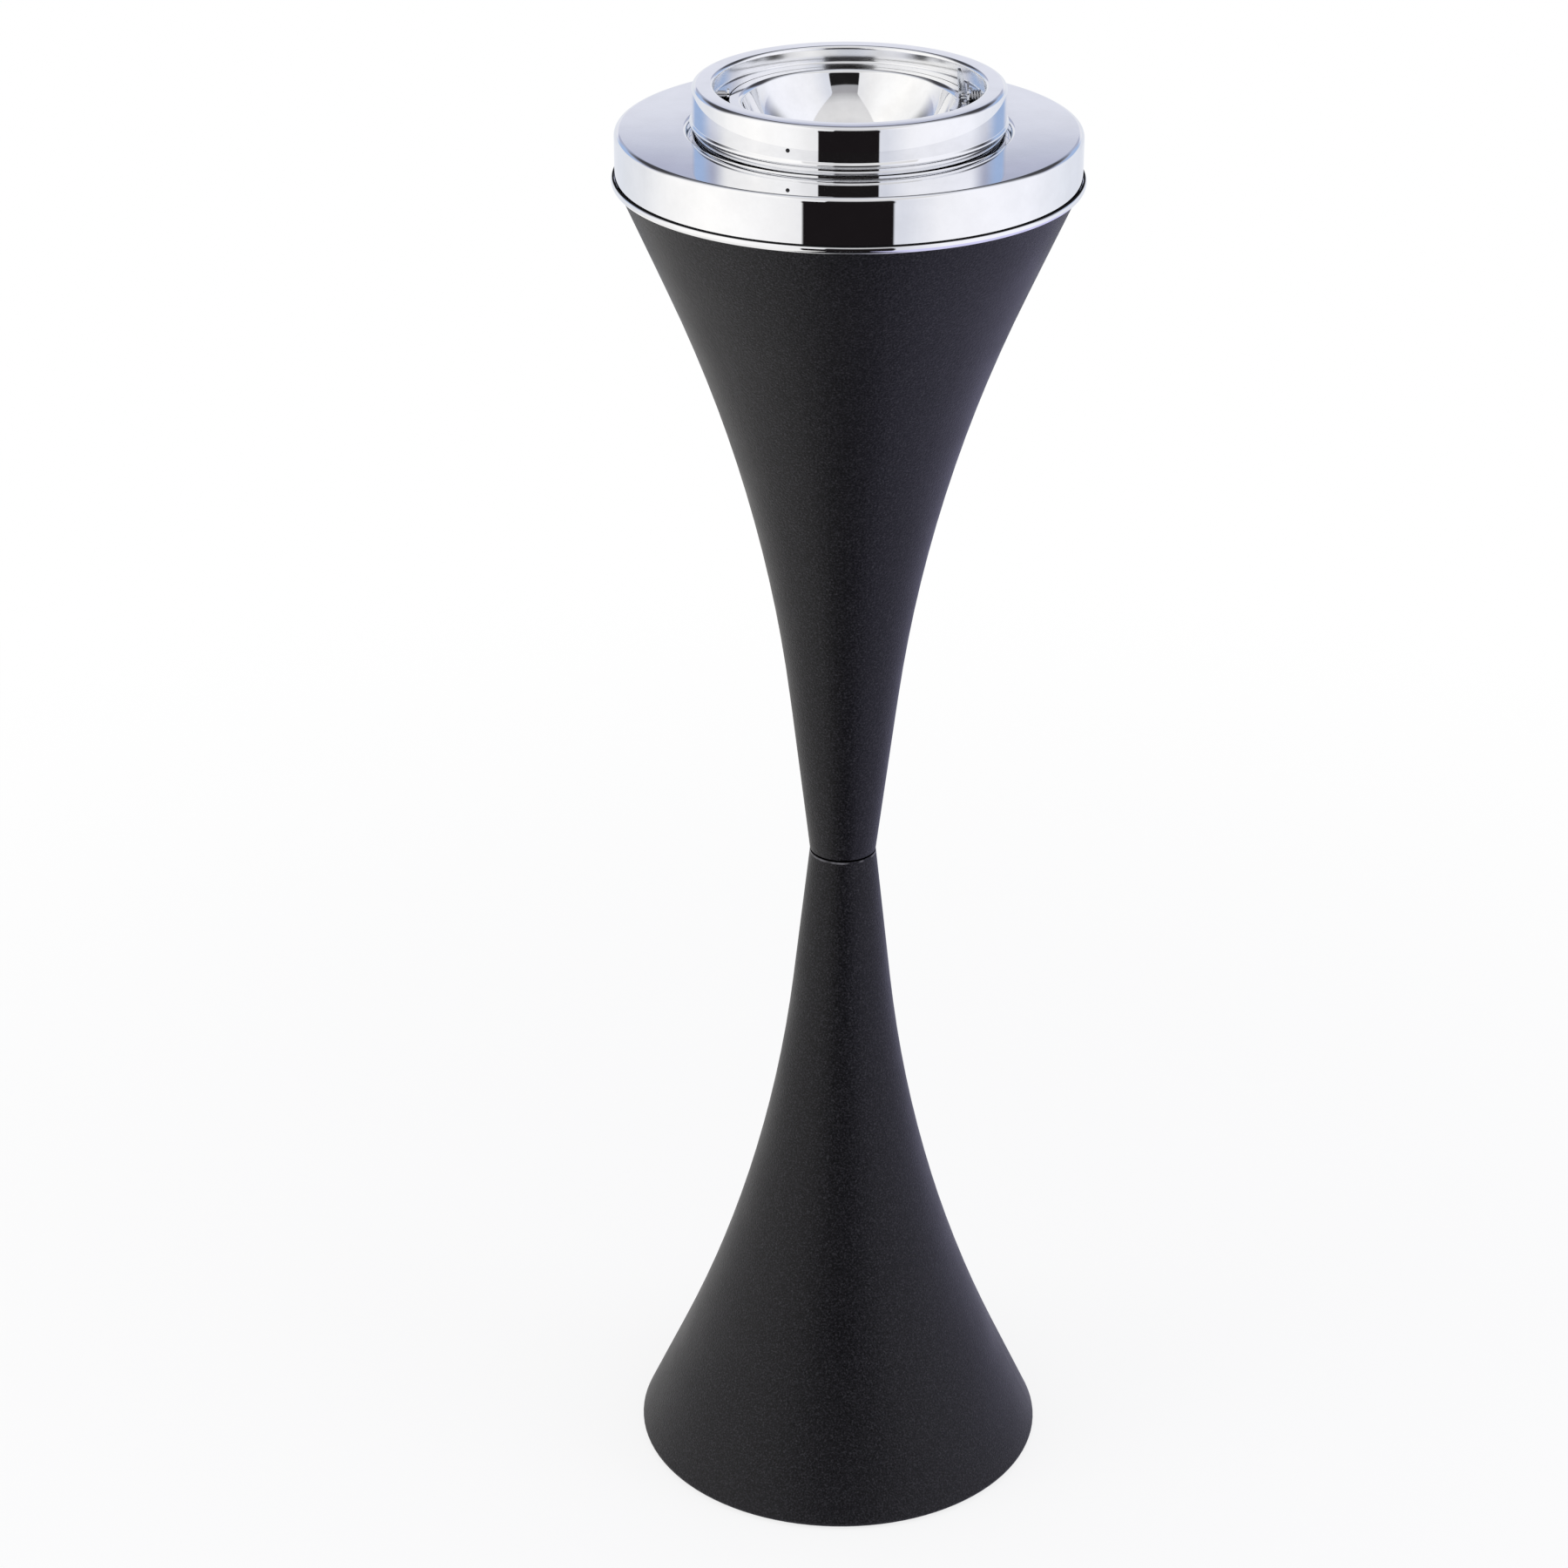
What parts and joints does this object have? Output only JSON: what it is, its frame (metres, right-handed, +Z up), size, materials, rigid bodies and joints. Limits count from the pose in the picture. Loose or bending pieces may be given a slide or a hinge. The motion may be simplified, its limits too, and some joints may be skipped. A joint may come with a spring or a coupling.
{
  "type": "ashtray bin",
  "caption": "Floor-standing hourglass ashtray bin with a lift-off chrome head, a tipping bowl with a thumb lever and a lift-out liner.",
  "frame": {"origin": "on the floor, on the axis of revolution", "axes": "+Z up along the axis of revolution, -Y the front, +X the right-hand side, where the thumb lever is"},
  "size_m": [0.2082, 0.2082, 0.698],
  "materials": {
    "powder_coat": "fine-textured matt black powder coat",
    "chrome_plate": "mirror",
    "polished_bowl": "mirror",
    "pin_steel": "bright turned",
    "spring_wire": "drawn wire",
    "zinc_plate": "zinc plated",
    "galvanised_sheet": "galvanised",
    "cast_aluminium": "as cast",
    "grey_iron": "as cast",
    "black_rubber": "matt"
  },
  "bodies": {
    "stand": {"lower_trumpet": "powder_coat", "upper_trumpet": "powder_coat", "clamp_cone": "cast_aluminium", "base_weight": "grey_iron", "base_plate": "zinc_plate", "rubber_feet": "black_rubber", "foot_screws": "zinc_plate", "tie_rod": "zinc_plate", "rod_washers": "zinc_plate", "rod_nuts": "zinc_plate", "rim_ring": "chrome_plate"},
    "liner": {"ash_liner": "galvanised_sheet"},
    "head": {"cover": "chrome_plate", "collar": "chrome_plate", "collar_screws": "zinc_plate", "collar_nuts": "zinc_plate", "right_pivot_pin": "pin_steel", "left_pivot_pin": "pin_steel", "pivot_spacer": "pin_steel", "return_spring": "spring_wire", "stop_bracket": "zinc_plate", "stop_rivet": "pin_steel"},
    "bowl": {"bowl": "polished_bowl", "left_ear": "polished_bowl", "thumb_lever": "polished_bowl", "ear_rivets": "pin_steel", "spring_hook": "spring_wire"}
  },
  "joints": [
    {"name": "cover_lift", "type": "slide", "parent": "stand", "child": "head", "axis": [0, 0, 1], "range_m": [0, 0.16]},
    {"name": "liner_lift", "type": "slide", "parent": "stand", "child": "liner", "axis": [0, 0, 1], "range_m": [0, 0.12]},
    {"name": "bowl_tilt", "type": "hinge", "parent": "head", "child": "bowl", "pos_m": [0, 0, 0.6876], "axis": [-1, 0, 0], "range_deg": [0, 110], "stiffness_Nm_per_rad": 0.003, "springref_deg": -34.38}
  ],
  "couplings": [
    {"joint": "liner_lift", "follows": "cover_lift", "ratio": 0.75}
  ]
}
